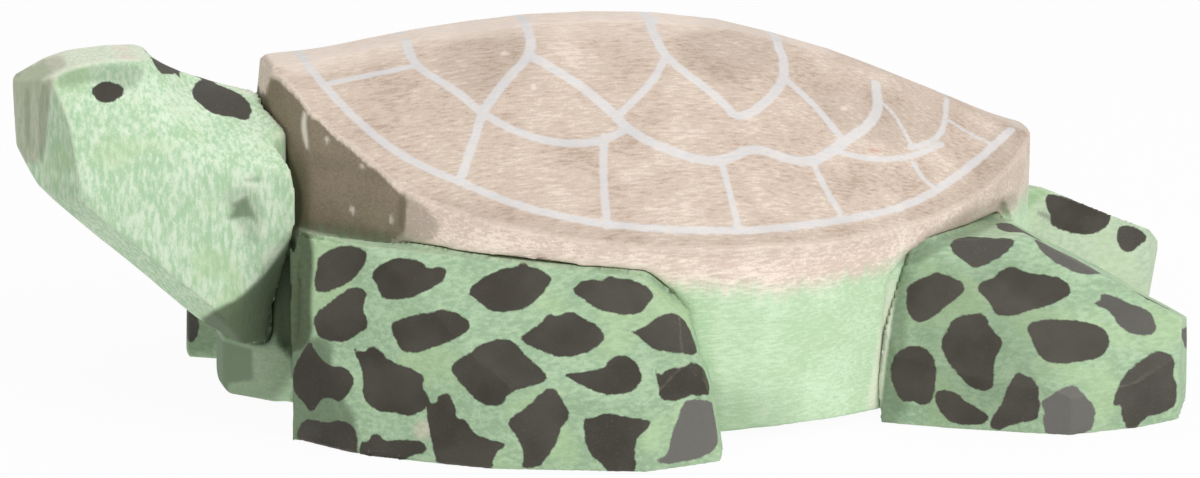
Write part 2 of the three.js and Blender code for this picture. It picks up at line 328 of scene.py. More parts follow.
# Each flat on the shell: a pixel at its middle, and how deep the shaving was, in millimetres.
shell_flats = [
    ((480, 62), 0.22), ((726, 50), 0.22), ((580, 62), 0.12), ((910, 118), 0.2),
    ((832, 92), 0.14), ((390, 110), 0.12), ((540, 120), 0.08), ((690, 130), 0.08),
]
shell_points, shell_normals = points_of(shell), normals_of(shell)
for pixel, shaving in shell_flats:
    for place, _ in sight_hits(shell, [pixel]):
        for side in (1, -1):
            middle = np.array(place) * [1, side, 1]
            pare(shell_points, shell_normals, middle, shaving * MM, SHELL_FLAT_REACH)
move_points(shell, shell_points)

for seed, block in enumerate(blocks.values()):
    scattered_flats(block, count=70, depth=0.06 * MM, reach=5 * MM, seed=seed)
    waver(block, depth=0.12 * MM, length=7 * MM, seed=seed * 10)
print("knife marks cut on", len(blocks), "blocks")

# %% [markdown]
# The painted marks are brush strokes. For every small square of a block it is worked out how far it
# lies from the edge of the nearest mark, and the material later turns that distance into paint, with
# a ragged edge where the bristles ran dry. A spot is a closed outline, laid on the flat that it was
# painted on. A line is a path over the surface with a width. The marks that show on the far flippers
# are read too, and the rest of the hidden right side has the marks of the left side, mirrored.

# %% Distance to painted spots
CORNER_CUT = 0.25
FAR_FROM_PAINT = 3 * MM
# How far a point may be turned away from a spot's flat and still be painted.
SAME_SIDE = 0.1
# Added to a squared length, so that a side of no length isn't divided by.
TINY = 1e-18
PATCH_KINDS = ("shade", "pale", "bare")


def without_corners(start, end):
    """The two points that are left of a side when the corners at its ends are cut off."""
    return (1 - CORNER_CUT) * start + CORNER_CUT * end, CORNER_CUT * start + (1 - CORNER_CUT) * end


def rounded(outline):
    """A closed outline with its corners cut off."""
    outline = np.array(outline, float)
    return np.stack(without_corners(outline, np.roll(outline, -1, axis=0)), axis=1).reshape(-1, 2)


def outline_distance(points, outline):
    """How far flat points lie outside a closed outline; less than 0 inside it."""
    nearest = np.full(len(points), np.inf)
    inside = np.zeros(len(points), bool)
    for start, end in zip(outline, np.roll(outline, -1, axis=0)):
        along = end - start
        share = np.clip((points - start) @ along / (along @ along + TINY), 0, 1)
        gap = points - start - share[:, None] * along
        nearest = np.minimum(nearest, np.hypot(gap[:, 0], gap[:, 1]))
        straddles = (start[1] > points[:, 1]) != (end[1] > points[:, 1])
        if abs(along[1]) > 0:
            crossing = start[0] + (points[:, 1] - start[1]) * along[0] / along[1]
            inside ^= straddles & (points[:, 0] < crossing)
    return np.where(inside, -nearest, nearest)


class PaintedBlock:
    """Gathers, for every point of a block, its distance to the paint on it."""

    def __init__(self, block):
        self.block = block
        self.points = points_of(block)
        self.normals = normals_of(block)
        self.spots = np.full(len(self.points), FAR_FROM_PAINT)
        self.faded = np.zeros(len(self.points))
        self.lines = np.full(len(self.points), FAR_FROM_PAINT)
        self.patches = {kind: np.zeros(len(self.points)) for kind in PATCH_KINDS}

    def add_patch(self, kind, pixels, strength, softness, side, turned_away):
        """Tint what shows inside an outline in the photograph, or its mirror image where side is -1.
        Turned away is 0 for what faces the camera only, and 1 for all of the block behind the outline."""
        flip = np.array([1, side, 1])
        seen = np.flatnonzero((self.normals * flip) @ np.array(towards_camera) > -turned_away)
        outside = outline_distance(pixels_of(self.points[seen] * flip), rounded(pixels))
        share = strength * ease(softness, -softness, outside)
        self.patches[kind][seen] = np.maximum(self.patches[kind][seen], share)

    def add_spot(self, corners, facing_out, faded):
        """Lay a spot, given by its corners in space, on the flat that faces that way."""
        middle = corners.mean(axis=0)
        across = np.cross([0, 0, 1], facing_out)
        across /= np.linalg.norm(across)
        up = np.cross(facing_out, across)
        offset = self.points - middle
        size = np.linalg.norm(corners - middle, axis=1).max() + FAR_FROM_PAINT
        near = (np.linalg.norm(offset, axis=1) < size) & (self.normals @ facing_out > SAME_SIDE)
        flat = np.stack([offset[near] @ across, offset[near] @ up], axis=1)
        outline = np.stack([(corners - middle) @ across, (corners - middle) @ up], axis=1)
        distance = outline_distance(flat, outline)
        places = np.flatnonzero(near)
        closer = distance < self.spots[places]
        self.spots[places[closer]] = distance[closer]
        self.faded[places[closer]] = faded

    def add_line(self, path, width):
        """Add a brush line along points in space that lie on the surface."""
        for start, end in zip(path, path[1:]):
            along = end - start
            offset = self.points - start
            share = np.clip(offset @ along / (along @ along), 0, 1)
            distance = np.linalg.norm(offset - share[:, None] * along, axis=1) - width / 2
            self.lines = np.minimum(self.lines, distance)


painted = {name: PaintedBlock(block) for name, block in blocks.items()}


def cast_outline(block, pixels):
    """A spot's corners on a block and the way it faces, from its outline in the photograph."""
    outline = rounded(pixels)
    hits = sight_hits(block, outline)
    middle = Vector(np.mean([place for place, _ in hits], axis=0))
    facing_out = Vector(np.mean([way for _, way in hits], axis=0)).normalized()
    corners = []
    for pixel in outline:
        way = sight_line(pixel)
        reach = (middle - eye).dot(facing_out) / way.dot(facing_out)
        corners.append(eye + way * reach)
    return np.array(corners), np.array(facing_out)


def paint_spots(source, spots, targets):
    """Cast spots on one block, and paint them on each target block, mirrored where its side is -1."""
    for faded, pixels in spots:
        corners, facing_out = cast_outline(blocks[source], pixels)
        for name, side in targets:
            flip = np.array([1, side, 1])
            painted[name].add_spot(corners * flip, facing_out * flip, faded)
    print(f"{len(spots)} spots:", targets)


# %% Spots on the front flippers
# Each spot: how faded its paint is, and its outline in pixels of the photograph.
front_spots = [
    (0, [(319, 256), (334, 247), (350, 245), (364, 249), (368, 258), (360, 273), (345, 285), (330, 291),
         (316, 293), (314, 283), (317, 266)]),
    (0, [(370, 274), (385, 262), (401, 257), (423, 262), (428, 269), (442, 265), (447, 273), (443, 282),
         (428, 291), (409, 299), (381, 300), (378, 287)]),
    (0, [(466, 291), (480, 280), (490, 274), (504, 268), (519, 267), (522, 260), (527, 266), (540, 269),
         (552, 277), (551, 283), (536, 301), (524, 309), (508, 312), (490, 311), (481, 304)]),
    (0.1, [(571, 290), (578, 283), (588, 279), (600, 281), (610, 275), (616, 279), (634, 280), (649, 288),
           (655, 296), (649, 303), (644, 311), (630, 316), (600, 311), (588, 303)]),
    (0.1, [(316, 313), (328, 304), (341, 293), (354, 286), (364, 289), (367, 295), (362, 309), (368, 321),
           (366, 329), (357, 335), (345, 342), (335, 342), (319, 338), (315, 328), (313, 320)]),
    (0.1, [(388, 323), (401, 319), (417, 314), (432, 313), (443, 309), (454, 311), (468, 320), (471, 328),
           (465, 335), (449, 342), (417, 353), (402, 352), (395, 342)]),
    (0.05, [(518, 340), (529, 330), (541, 324), (549, 312), (556, 317), (570, 310), (585, 319), (599, 327),
            (606, 337), (600, 345), (589, 352), (574, 357), (558, 357), (543, 352)]),
    (0.15, [(626, 328), (637, 331), (649, 324), (660, 317), (670, 315), (681, 320), (692, 330), (700, 343),
            (699, 351), (690, 357), (672, 355), (656, 351), (646, 344), (637, 334)]),
    (0.2, [(311, 339), (316, 350), (324, 360), (333, 366), (342, 366), (351, 373), (354, 382), (350, 392),
           (341, 402), (331, 397), (322, 398), (311, 415), (303, 404), (294, 396), (290, 384), (293, 366),
           (302, 352)]),
    (0.1, [(352, 346), (361, 353), (371, 346), (380, 349), (388, 360), (417, 371), (425, 378), (421, 387),
           (432, 401), (424, 410), (411, 417), (399, 413), (383, 413), (371, 407), (362, 396), (364, 375)]),
    (0.15, [(449, 369), (457, 360), (469, 354), (483, 343), (503, 338), (513, 341), (524, 354), (545, 372),
            (548, 381), (529, 387), (510, 392), (503, 406), (480, 405), (460, 384)]),
    (0.15, [(561, 374), (577, 373), (603, 369), (611, 358), (623, 355), (633, 359), (642, 372), (642, 382),
            (633, 391), (619, 395), (603, 395), (577, 383)]),
    (0.2, [(655, 368), (660, 376), (664, 370), (680, 367), (691, 362), (711, 369), (717, 380), (717, 388),
           (709, 395), (698, 396), (690, 395), (679, 401), (662, 401), (656, 392), (657, 381)]),
    (0.3, [(298, 424), (309, 419), (327, 423), (343, 419), (353, 425), (358, 434), (358, 458), (330, 456),
           (309, 449), (293, 441)]),
    (0.3, [(359, 443), (369, 441), (372, 434), (380, 435), (384, 441), (402, 440), (418, 440), (426, 444),
           (427, 452), (413, 455), (401, 463), (380, 464), (360, 460)]),
    (0.25, [(425, 403), (436, 404), (437, 396), (448, 393), (453, 402), (457, 413), (455, 417), (465, 419),
            (472, 428), (476, 434), (491, 439), (502, 442), (506, 446), (496, 452), (493, 460), (494, 470),
            (466, 470), (437, 465), (433, 449), (430, 431), (426, 417)]),
    (0.3, [(549, 387), (557, 391), (562, 400), (567, 409), (571, 416), (561, 427), (559, 438), (546, 460),
           (538, 468), (520, 469), (524, 456), (521, 446), (515, 434), (508, 427), (510, 417), (529, 406),
           (537, 396)]),
    (0.3, [(582, 419), (593, 419), (603, 413), (613, 413), (624, 417), (645, 418), (653, 424), (643, 432),
           (637, 438), (634, 456), (637, 463), (632, 476), (609, 476), (606, 467), (593, 459), (586, 446)]),
    (1, [(683, 401), (691, 398), (710, 400), (713, 413), (717, 420), (717, 438), (711, 450), (700, 457),
         (681, 462), (669, 465), (655, 462), (670, 456), (671, 440), (677, 421)]),
]
far_front_spots = [
    (0.4, [(180, 298), (190, 302), (198, 315), (199, 332), (193, 344), (186, 338), (181, 322)]),
]
paint_spots("front_left_flipper", front_spots, [("front_left_flipper", 1), ("front_right_flipper", -1)])
paint_spots("front_right_flipper", far_front_spots, [("front_right_flipper", 1)])

# %% Spots on the rear flippers
rear_spots = [
    (0.45, [(947, 249), (957, 239), (972, 234), (986, 239), (1013, 240), (1015, 244), (1004, 255),
            (990, 262), (979, 267), (970, 265)]),
    (0, [(908, 285), (921, 278), (938, 272), (953, 277), (963, 283), (966, 290), (957, 298), (943, 309),
         (933, 317), (921, 323), (911, 319), (906, 307), (906, 292)]),
    (0, [(975, 289), (982, 281), (992, 279), (1002, 269), (1013, 266), (1028, 273), (1056, 276), (1067, 282),
         (1072, 291), (1066, 298), (1048, 306), (1019, 314), (1000, 317), (994, 311), (988, 300)]),
    (0.5, [(994, 224), (1014, 227), (1030, 231), (1048, 237), (1014, 236), (999, 231)]),
    (0.7, [(1029, 243), (1046, 247), (1066, 251), (1084, 260), (1100, 274), (1099, 280), (1080, 280),
           (1064, 273), (1048, 264), (1036, 254)]),
    (0, [(940, 342), (948, 329), (952, 319), (966, 314), (985, 313), (991, 329), (1003, 340), (1001, 350),
         (995, 358), (994, 375), (994, 388), (985, 391), (971, 388), (958, 375), (945, 358)]),
    (0, [(901, 349), (916, 344), (929, 351), (938, 364), (936, 378), (935, 390), (932, 402), (921, 406),
         (912, 401), (900, 403), (894, 386), (890, 374), (894, 358)]),
    (0.1, [(933, 396), (939, 389), (956, 392), (967, 403), (983, 410), (990, 418), (982, 425), (969, 425),
           (955, 424), (942, 416)]),
    (0.35, [(1016, 371), (1024, 375), (1034, 378), (1040, 391), (1040, 416), (1031, 422), (1019, 422),
            (1008, 427), (997, 431), (988, 427), (992, 417), (1001, 405), (1006, 391)]),
    (0.1, [(1026, 327), (1035, 320), (1061, 319), (1083, 321), (1102, 326), (1110, 338), (1108, 350),
           (1098, 358), (1081, 362), (1056, 364), (1044, 360), (1037, 352), (1032, 340)]),
    (0.6, [(1090, 302), (1101, 301), (1101, 293), (1113, 295), (1128, 303), (1146, 309), (1153, 315),
           (1157, 330), (1151, 336), (1131, 334), (1120, 327), (1113, 317), (1110, 311)]),
    (0.4, [(1154, 351), (1166, 352), (1173, 362), (1172, 375), (1178, 386), (1179, 406), (1167, 413),
           (1150, 416), (1142, 421), (1137, 429), (1129, 430), (1122, 418), (1121, 404), (1111, 407),
           (1114, 390), (1121, 377), (1134, 365), (1143, 360)]),
    (1, [(1059, 388), (1076, 385), (1084, 395), (1094, 405), (1096, 417), (1090, 435), (1047, 437),
         (1043, 423), (1045, 411), (1041, 401), (1050, 396)]),
    (0.5, [(1128, 289), (1136, 290), (1151, 300), (1174, 311), (1158, 309), (1140, 302)]),
    (0.5, [(1180, 331), (1188, 325), (1189, 340), (1186, 352)]),
]
far_rear_spots = [
    (0.2, [(1045, 194), (1057, 195), (1077, 200), (1097, 202), (1106, 205), (1111, 211), (1110, 221),
           (1104, 230), (1087, 235), (1072, 233), (1060, 229), (1051, 225), (1051, 216), (1046, 208)]),
    (0.4, [(1116, 227), (1130, 225), (1140, 229), (1149, 239), (1139, 245), (1133, 251), (1125, 252),
           (1118, 246)]),
]
# The far flipper shows its top, with spots of its own, so the left one's top spots aren't mirrored.
lower_rear_spots = rear_spots[1:3] + rear_spots[5:13]
paint_spots("rear_left_flipper", rear_spots, [("rear_left_flipper", 1)])
paint_spots("rear_right_flipper", far_rear_spots, [("rear_right_flipper", 1)])
paint_spots("rear_left_flipper", lower_rear_spots, [("rear_right_flipper", -1)])

# %% Eyes and spots on the head
head_spots = [
    (0.2, [(91, 90), (97, 83), (107, 81), (119, 84), (125, 90), (121, 97), (111, 103), (101, 102), (94, 98)]),
    (0.4, [(148, 56), (157, 58), (184, 71), (177, 73), (163, 75), (156, 69)]),
    (0.4, [(191, 92), (196, 82), (205, 79), (233, 90), (244, 96), (252, 106), (251, 116), (246, 121),
           (233, 117), (218, 116), (206, 109), (195, 102)]),
]
paint_spots("head", head_spots, [("head", 1), ("head", -1)])

# %% [markdown]
# The shell's lines are single strokes of a fine brush, so each is a path of a few points with one
# width. The paths are rounded a little and cast on the dome point by point. The same strokes are
# laid on the other side of the ridge.

# %% Lines on the shell
LINE_ROUNDINGS = 2
LINE_STEP = 5


def along_path(pixels):
    """Points every few pixels along a path whose corners have been rounded."""
    path = np.array(pixels, float)
    for _ in range(LINE_ROUNDINGS):
        cut = [path[0]]
        for start, end in zip(path, path[1:]):
            cut += without_corners(start, end)
        path = np.array(cut + [path[-1]])
    points = [path[0]]
    for start, end in zip(path, path[1:]):
        count = max(1, int(hypot(*(end - start)) / LINE_STEP))
        points += [start + (end - start) * (part + 1) / count for part in range(count)]
    return points


# Each line: its width in millimetres, and its path in pixels of the photograph.
shell_lines = [
    (0.95, [(301, 55), (326, 89), (369, 132), (411, 162), (460, 182), (515, 205), (577, 220), (638, 228),
            (720, 231), (763, 230), (839, 221), (912, 206), (968, 169), (1012, 129)]),
    (0.8, [(326, 84), (370, 75), (414, 66)]),
    (1.0, [(405, 40), (414, 66), (454, 89), (482, 113)]),
    (1.1, [(482, 113), (503, 83), (528, 58), (532, 42), (524, 20)]),
    (1.0, [(482, 113), (473, 144), (460, 180)]),
    (1.0, [(482, 113), (515, 132), (558, 144), (601, 142), (626, 129)]),
    (1.2, [(530, 55), (577, 83), (607, 107), (626, 128), (653, 144), (693, 159), (723, 162), (753, 146),
           (786, 159), (813, 163), (839, 146), (879, 118), (876, 83)]),
    (0.9, [(604, 136), (603, 180), (607, 226)]),
    (0.9, [(618, 116), (653, 82), (665, 58)]),
    (1.1, [(645, 8), (652, 30), (665, 58), (720, 98), (740, 123), (780, 90), (786, 66), (774, 34)]),
    (1.0, [(787, 80), (815, 105), (843, 140)]),
    (0.8, [(835, 151), (866, 159), (906, 159), (942, 144)]),
    (0.6, [(878, 98), (896, 116), (912, 146)]),
    (0.7, [(910, 148), (943, 138), (947, 98)]),
    (0.6, [(950, 121), (970, 134), (992, 144)]),
    (0.8, [(722, 164), (729, 190), (738, 226)]),
    (0.8, [(813, 163), (826, 190), (843, 218)]),
    (0.7, [(913, 162), (922, 178), (937, 190)]),
]
for width, pixels in shell_lines:
    path = [np.array(place) for place, _ in sight_hits(shell, along_path(pixels))]
    painted["body"].add_line(path, width * MM)
    painted["body"].add_line([point * [1, -1, 1] for point in path], width * MM)
print(f"{len(shell_lines)} brush lines on each side of the shell")

# %% [markdown]
# Hand colouring is never even: a knot drank more stain, and small chips and scratches show pale wood.
# Shade is painted into the colour too: in the corners between the blocks, under the shell's rim,
# on the facets that face forward and on the knife flats, and one far flipper is painted lighter.
# These patches are read off the photograph like the marks, as soft-edged outlines, and they too are mirrored.

# %% Painted shade, a knot, chips and scratches
# A patch is a shade, mostly painted shade and on a few marks darker stain, pale where it was chipped or
# rubbed off, or bare where it took badly.
# Each patch: its kind, how strong it is, how soft its edge is in pixels, and its outline in pixels.
muzzle_side = [(8, 78), (42, 56), (72, 62), (51, 82), (41, 166), (15, 160)]
# Painted shade: the first shade lies on the back of the head and neck, and the others on the muzzle and under
# the chin; the knot, the shade round it, the scratch and the deeper green under the crown are stain.
head_patches = [
    ("shade", 0.86, 3, [(297, 226), (308, 222), (308, 352), (225, 352), (196, 322), (220, 307), (238, 299),
                        (262, 277), (277, 257)]),
    ("shade", 0.35, 6, [(56, 76), (75, 66), (135, 63), (147, 72), (128, 94), (100, 80), (60, 90)]),
    ("shade", 0.7, 3.5, [(247, 193), (240, 199), (230, 203), (234, 210), (227, 220), (242, 218), (250, 218),
                         (260, 227), (251, 203)]),
    ("shade", 0.26, 6, [(225, 187), (262, 187), (262, 240), (248, 246), (238, 222), (224, 206)]),
    ("bare", 0.3, 3, muzzle_side),
    ("shade", 0.26, 3, muzzle_side),
    ("shade", 0.12, 2, [(51, 82), (60, 100), (76, 144), (76, 178), (41, 166)]),
    ("shade", 0.12, 7, [(36, 180), (75, 178), (95, 212), (100, 225), (60, 215)]),
    ("shade", 0.3, 2, [(242, 179), (262, 176), (262, 182), (250, 182)]),
    ("pale", 0.8, 1.5, [(240, 183), (252, 184), (263, 184), (250, 187)]),
    ("pale", 0.5, 3, [(261, 226), (268, 227), (266, 240), (260, 236)]),
    ("pale", 0.5, 5, [(262, 252), (284, 240), (276, 256), (262, 270)]),
    ("pale", 0.6, 2, [(40, 79), (72, 63), (140, 57), (140, 60), (76, 67), (44, 82)]),
    ("bare", 0.5, 3, [(112, 45), (131, 45), (131, 52), (114, 50)]),
    ("shade", 0.45, 3, [(22, 88), (32, 86), (31, 150), (25, 150)]),
    ("shade", 0.45, 2, [(38, 84), (52, 83), (44, 167), (37, 155)]),
]
# The shades are painted shade, on the flipper's forward faces and under the shell's rim; the bare patch is
# wood that took badly.
front_flipper_patches = [
    ("shade", 0.92, 3, [(270, 226), (304, 226), (311, 236), (314, 258), (311, 300), (313, 338), (300, 354),
                        (270, 354)]),
    ("shade", 0.6, 4, [(280, 345), (313, 336), (334, 341), (331, 364), (343, 400), (358, 420), (358, 485),
                       (270, 485)]),
    ("shade", 0.35, 3, [(303, 220), (340, 226), (380, 232), (380, 240), (345, 238), (303, 232)]),
    ("bare", 0.45, 6, [(413, 428), (424, 419), (437, 424), (430, 437), (416, 439)]),
]
# The first three shades are painted shade, on the forward faces and under the rim; the others mark a dark
# strip and a pale glue line at the front, nicks and a thin dark brush line.
rear_flipper_patches = [
    ("shade", 0.52, 10, [(860, 262), (915, 255), (908, 330), (910, 430), (850, 430)]),
    ("shade", 0.3, 25, [(905, 262), (1040, 256), (1066, 330), (1046, 420), (905, 430)]),
    ("shade", 0.4, 4, [(900, 258), (945, 232), (1010, 210), (1012, 221), (950, 245), (905, 272)]),
    ("shade", 0.3, 1.5, [(898, 281), (903, 281), (895, 330), (885, 420), (879, 420), (890, 330)]),
    ("pale", 0.85, 1.5, [(893, 276), (898, 280), (890, 330), (879, 421), (872, 421), (884, 330)]),
    ("pale", 0.8, 1.5, [(1065, 355), (1075, 357), (1074, 361), (1064, 359)]),
    ("pale", 0.7, 1.5, [(1154, 395), (1160, 397), (1159, 402), (1154, 401)]),
    ("shade", 0.9, 1.5, [(1091, 258), (1112, 268), (1135, 283), (1133, 287), (1110, 273), (1090, 263)]),
]
# Mostly painted shade: behind the head, on the neck and breast, under the rim and along the flippers' joins,
# on the forward facets, low on the belly and on the dome's knife flats; the shades at the tail end and across
# the front darken the stain.
shell_patches = [
    ("shade", 0.8, 2, [(240, 95), (263, 90), (269, 103), (275, 123), (283, 142), (291, 160), (299, 178),
                       (303, 200), (301, 225), (293, 245), (275, 268), (258, 290), (230, 300)]),
    ("shade", 0.5, 8, [(180, 300), (240, 300), (262, 278), (290, 240), (306, 228), (306, 402), (180, 402)]),
    ("shade", 0.95, 6, [(262, 280), (294, 238), (302, 300), (302, 360), (284, 360), (266, 325)]),
    ("shade", 0.12, 5, [(430, 190), (560, 224), (760, 238), (900, 217), (990, 165), (1010, 160), (960, 215),
                        (850, 258), (700, 260), (560, 245), (440, 215)]),
    ("shade", 0.3, 3, [(303, 218), (340, 224), (380, 230), (428, 236), (425, 246), (380, 240), (303, 232)]),
    ("shade", 0.4, 3, [(398, 188), (424, 205), (442, 226), (430, 244), (398, 236)]),
    ("shade", 0.45, 6, [(898, 268), (940, 242), (985, 222), (1018, 208), (1018, 188), (985, 202), (940, 224),
                        (902, 252)]),
    ("shade", 0.18, 10, [(1000, 120), (1034, 115), (1034, 210), (985, 215), (952, 205)]),
    ("shade", 0.25, 22, [(620, 400), (700, 385), (790, 392), (800, 450), (620, 450)]),
    ("pale", 0.4, 2, [(889, 280), (896, 282), (886, 340), (875, 428), (864, 428), (877, 340)]),
    ("shade", 0.15, 6, [(312, 152), (350, 160), (394, 176), (392, 186), (350, 174), (312, 168)]),
    ("shade", 0.13, 9, [(436, 90), (440, 44), (470, 28), (525, 28), (520, 62), (486, 100)]),
    ("shade", 0.13, 9, [(672, 56), (690, 22), (770, 24), (778, 62), (740, 78), (716, 84)]),
    ("shade", 0.12, 12, [(800, 96), (820, 80), (930, 100), (960, 130), (900, 150), (850, 140)]),
    ("pale", 0.95, 1.5, [(303, 110), (307, 113), (306, 125), (308, 140), (308, 152), (304, 143), (301, 127)]),
    ("pale", 0.8, 1.5, [(325, 136), (329, 138), (328, 144), (325, 142)]),
    ("pale", 0.7, 1.5, [(360, 164), (364, 166), (364, 170), (360, 169)]),
    ("pale", 0.8, 1.5, [(349, 205), (354, 207), (355, 215), (351, 213)]),
    ("pale", 0.7, 1.5, [(389, 216), (393, 217), (393, 224), (390, 223)]),
    ("pale", 0.7, 1.5, [(530, 84), (537, 85), (537, 89), (531, 89)]),
    ("pale", 0.7, 1.5, [(841, 106), (848, 107), (847, 110), (841, 110)]),
    ("pale", 0.6, 1.5, [(502, 51), (508, 52), (508, 55), (502, 55)]),
    ("bare", 0.6, 1.5, [(868, 147), (881, 150), (881, 153), (868, 151)]),
]
mirrored_patches = {
    ("head", "head"): head_patches,
    ("front_left_flipper", "front_right_flipper"): front_flipper_patches,
    ("rear_left_flipper", "rear_right_flipper"): rear_flipper_patches,
    ("body", "body"): shell_patches,
}
for (left, right), patches in mirrored_patches.items():
    # On the flippers a patch, the painted shade too, goes right through to the inner face, so it also covers
    # their thin edges.
    turned_away = 1 if "flipper" in left else 0
    for kind, strength, softness, pixels in patches:
        painted[left].add_patch(kind, pixels, strength, softness, side=1, turned_away=turned_away)
        painted[right].add_patch(kind, pixels, strength, softness, side=-1, turned_away=turned_away)
# Painted shade on the far front flipper, under the throat, and painted light on the top of the far rear
# flipper.
far_front = [(178, 292), (222, 292), (222, 352), (178, 352)]
far_rear = [(1008, 190), (1200, 190), (1200, 310), (1008, 310)]
painted["front_right_flipper"].add_patch("shade", far_front, strength=0.3, softness=3, side=1, turned_away=0)
painted["rear_right_flipper"].add_patch("pale", far_rear, strength=0.3, softness=3, side=1, turned_away=0)
print("patches:", {left: len(patches) for (left, _), patches in mirrored_patches.items()})

# %% [markdown]
# The brown of the shell runs down over the rim and bleeds into the green of the belly with no edge
# between the two. The height of that meeting is read along the side at a few pixels, and each point
# of the block stores how far above it lies. The other things that the material needs to know are
# stored the same way: whether a point is on the dome, the wall or the front facets, which are painted
# darker as shade and stain, whether it faces up, for the light painted on top, and how proud of its
# surroundings it stands, for the paint that has rubbed thin on the edges.

# %% Where brown meets green, and where the edges are worn
SQUARES_AROUND = 4
# How far up, or forward, a point faces where it starts to count as each kind, and where it fully does.
UPWARD = (0.9, 0.97)
DOME = (0.2, 0.45)
FRONT_FORWARD = (0.6, 0.7)
FRONT_UP = (0.17, 0.12)
# Where the two stains meet, in pixels of the photograph.
stain_edge = [
    (302, 228), (345, 235), (385, 241), (430, 250), (520, 262), (610, 274), (680, 286), (740, 290),
    (800, 287), (860, 276), (900, 260), (940, 240), (985, 219), (1015, 205),
]
edge_hits = sorted((place.x, place.z) for place, _ in sight_hits(shell, stain_edge))
edge_along, edge_height = np.array(edge_hits).T
body_paint = painted["body"]
above_green = body_paint.points[:, 2] - np.interp(body_paint.points[:, 0], edge_along, edge_height)


def proudness(block):
    """How far each point stands out from the middle of its neighbours, a few squares around."""
    edges = np.empty(len(block.data.edges) * 2, np.int32)
    block.data.edges.foreach_get("vertices", edges)
    first, second = edges.reshape(-1, 2).T
    points, normals = points_of(block), normals_of(block)
    count = np.bincount(edges, minlength=len(points))[:, None]
    eased = points.copy()
    for _ in range(SQUARES_AROUND):
        total = np.zeros_like(eased)
        for axis in range(3):
            total[:, axis] += np.bincount(first, eased[second, axis], len(points))
            total[:, axis] += np.bincount(second, eased[first, axis], len(points))
        eased = total / count
    return ((points - eased) * normals).sum(axis=1)


def store(block, name, values):
    """Keep one value for each point of a block, where its material can read it."""
    layer = block.data.attributes.new(name, "FLOAT", "POINT")
    layer.data.foreach_set("value", values.astype(np.float32))


for paint in painted.values():
    store(paint.block, "spots", paint.spots / MM)
    store(paint.block, "faded", paint.faded)
    store(paint.block, "worn", proudness(paint.block) / MM)
    # Which faces look up, for the light that is painted on them.
    store(paint.block, "upward", ease(*UPWARD, paint.normals[:, 2]))
    for kind, share in paint.patches.items():
        store(paint.block, kind, share)
facing_forward, _, facing_up = body_paint.normals.T
store(shell, "lines", body_paint.lines / MM)
store(shell, "above_green", above_green / MM)
store(shell, "wall", 1 - ease(*DOME, facing_up))
# The forward facets, which the shell's material paints darker, as shade and stain.
store(shell, "front", ease(*FRONT_FORWARD, facing_forward) * ease(*FRONT_UP, facing_up))
print("green starts", f"{edge_height.min() / MM:.1f} to {edge_height.max() / MM:.1f} mm above the table")

# %% [markdown]
# Materials are node graphs, and long ones are hard to read as lists of links. This small class wraps
# one output of a node, so that shader maths is written as ordinary arithmetic: each +, - or * adds a
# Math node. Every other node is added by one method.

# %% Writing shader maths as arithmetic
class Wire:
    def __init__(self, tree, socket=None):
        self.tree = tree
        self.socket = socket

    def node(self, kind, settings=None, inputs=None, output=0):
        """Add a node, set it up, feed its inputs and return one of its outputs."""
        made = self.tree.nodes.new(kind)
        for name, value in (settings or {}).items():
            setattr(made, name, value)
        for key, value in (inputs or {}).items():
            if isinstance(value, Wire):
                self.tree.links.new(value.socket, made.inputs[key])
            else:
                made.inputs[key].default_value = value
        return Wire(self.tree, made.outputs[output])

    def maths(self, operation, *operands):
        return self.node("ShaderNodeMath", {"operation": operation}, dict(enumerate(operands)))

    def __add__(self, other):
        return self.maths("ADD", self, other)

    def __sub__(self, other):
        return self.maths("SUBTRACT", self, other)

    def __rsub__(self, other):
        return self.maths("SUBTRACT", other, self)

    def __mul__(self, other):
        return self.maths("MULTIPLY", self, other)

    def step(self, low, high):
        """0 where this is below low, 1 above high; low may be the larger one."""
        return self.node(
            "ShaderNodeMapRange",
            {"interpolation_type": "SMOOTHSTEP"},
            {"Value": self, "From Min": low, "From Max": high},
        )

    def blend(self, zero, one):
        """One colour where this mask is 0 and another where it is 1."""
        return self.node("ShaderNodeMix", {"data_type": "RGBA"}, {0: self, 6: zero, 7: one}, output=2)

    def show(self, output_kind):
        """Make this what the whole graph shows."""
        output = self.tree.nodes.new(output_kind)
        self.tree.links.new(self.socket, output.inputs["Surface"])


def empty_graph(owner):
    """Clear the nodes of a material or a sky, and give a start for new ones."""
    owner.use_nodes = True
    owner.node_tree.nodes.clear()
    return Wire(owner.node_tree)


def colour(red, green, blue):
    """A colour as it looks on screen, 0 to 255, turned into the light that it stands for (the sRGB curve)."""
    def light(value):
        share = value / 255
        return share / 12.92 if share <= 0.04045 else ((share + 0.055) / 1.055) ** 2.4
    return (light(red), light(green), light(blue), 1)


# Dry stain on wood shines about half as much as plastic does.
MATT_SHINE = 0.25


